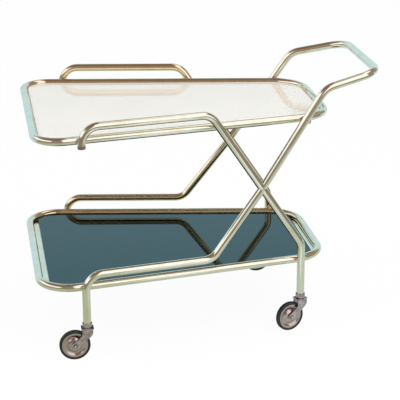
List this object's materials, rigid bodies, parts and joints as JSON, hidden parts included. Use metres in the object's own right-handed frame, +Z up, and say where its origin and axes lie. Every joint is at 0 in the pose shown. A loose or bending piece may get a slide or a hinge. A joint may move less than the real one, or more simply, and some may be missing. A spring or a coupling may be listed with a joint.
{
  "type": "bar cart",
  "caption": "Tubular brass bar cart with an opal glass upper tray, a black glass lower tray, crossed side frames, low gallery rails, a push handle and swivel casters.",
  "frame": {"origin": "on the floor, under the middle of the cart's overall length and width", "axes": "+X from the wide nose to the handle at the narrow rear, +Y from the side the picture shows to the far side, +Z up"},
  "size_m": [0.8034, 0.5554, 0.6105],
  "materials": {
    "polished_brass": "polished",
    "opal_glass": "polished opaque white",
    "black_glass": "polished opaque black",
    "dark_plug": "moulded",
    "plated_steel": "worn plating",
    "wheel_metal": "worn, tarnished",
    "plain_steel": "turned",
    "tyre": "moulded rubber"
  },
  "bodies": {
    "cart_frame": {"upper_tray_ring": "polished_brass", "lower_tray_ring": "polished_brass", "upper_ring_spigot": "polished_brass", "lower_ring_spigot": "polished_brass", "upper_tray_glass": "opal_glass", "lower_tray_glass": "black_glass", "upper_nose_ledge": "polished_brass", "upper_rear_ledge": "polished_brass", "lower_nose_ledge": "polished_brass", "lower_rear_ledge": "polished_brass", "upper_glass_tabs": "polished_brass", "lower_glass_tabs": "polished_brass", "upper_tray_pins": "polished_brass", "lower_tray_pins": "polished_brass", "near_handle_tube": "polished_brass", "far_handle_tube": "polished_brass", "handle_spigot": "polished_brass", "near_rail_tube": "polished_brass", "far_rail_tube": "polished_brass", "near_gallery_tube": "polished_brass", "far_gallery_tube": "polished_brass", "post_plugs": "dark_plug", "clamp_screws": "polished_brass", "near_nose_ferrule": "plated_steel", "near_nose_socket": "plain_steel", "far_nose_ferrule": "plated_steel", "far_nose_socket": "plain_steel", "near_rear_ferrule": "plated_steel", "near_rear_socket": "plain_steel", "far_rear_ferrule": "plated_steel", "far_rear_socket": "plain_steel"},
    "near_nose_caster": {"near_nose_thrust_washer": "plain_steel", "near_nose_stem": "plain_steel", "near_nose_fork": "plated_steel", "near_nose_axle": "plated_steel"},
    "near_nose_roller": {"near_nose_wheel": "wheel_metal", "near_nose_tyre": "tyre"},
    "far_nose_caster": {"far_nose_thrust_washer": "plain_steel", "far_nose_stem": "plain_steel", "far_nose_fork": "plated_steel", "far_nose_axle": "plated_steel"},
    "far_nose_roller": {"far_nose_wheel": "wheel_metal", "far_nose_tyre": "tyre"},
    "near_rear_caster": {"near_rear_thrust_washer": "plain_steel", "near_rear_stem": "plain_steel", "near_rear_fork": "plated_steel", "near_rear_axle": "plated_steel"},
    "near_rear_roller": {"near_rear_wheel": "wheel_metal", "near_rear_tyre": "tyre"},
    "far_rear_caster": {"far_rear_thrust_washer": "plain_steel", "far_rear_stem": "plain_steel", "far_rear_fork": "plated_steel", "far_rear_axle": "plated_steel"},
    "far_rear_roller": {"far_rear_wheel": "wheel_metal", "far_rear_tyre": "tyre"}
  },
  "joints": [
    {"name": "near_nose_swivel", "type": "hinge", "parent": "cart_frame", "child": "near_nose_caster", "pos_m": [-0.29475, -0.26446, 0.076], "axis": [0, 0, 1], "continuous": true},
    {"name": "near_nose_spin", "type": "hinge", "parent": "near_nose_caster", "child": "near_nose_roller", "pos_m": [-0.32375, -0.26446, 0.035], "axis": [0, 1, 0], "continuous": true},
    {"name": "far_nose_swivel", "type": "hinge", "parent": "cart_frame", "child": "far_nose_caster", "pos_m": [-0.29475, 0.26446, 0.076], "axis": [0, 0, 1], "continuous": true},
    {"name": "far_nose_spin", "type": "hinge", "parent": "far_nose_caster", "child": "far_nose_roller", "pos_m": [-0.32375, 0.26446, 0.035], "axis": [0, 1, 0], "continuous": true},
    {"name": "near_rear_swivel", "type": "hinge", "parent": "cart_frame", "child": "near_rear_caster", "pos_m": [0.21175, -0.18268, 0.076], "axis": [0, 0, 1], "continuous": true},
    {"name": "near_rear_spin", "type": "hinge", "parent": "near_rear_caster", "child": "near_rear_roller", "pos_m": [0.18446, -0.19251, 0.035], "axis": [-0.3387, 0.9409, 0], "continuous": true},
    {"name": "far_rear_swivel", "type": "hinge", "parent": "cart_frame", "child": "far_rear_caster", "pos_m": [0.21175, 0.18268, 0.076], "axis": [0, 0, 1], "continuous": true},
    {"name": "far_rear_spin", "type": "hinge", "parent": "far_rear_caster", "child": "far_rear_roller", "pos_m": [0.18275, 0.18268, 0.035], "axis": [0, 1, 0], "continuous": true}
  ]
}
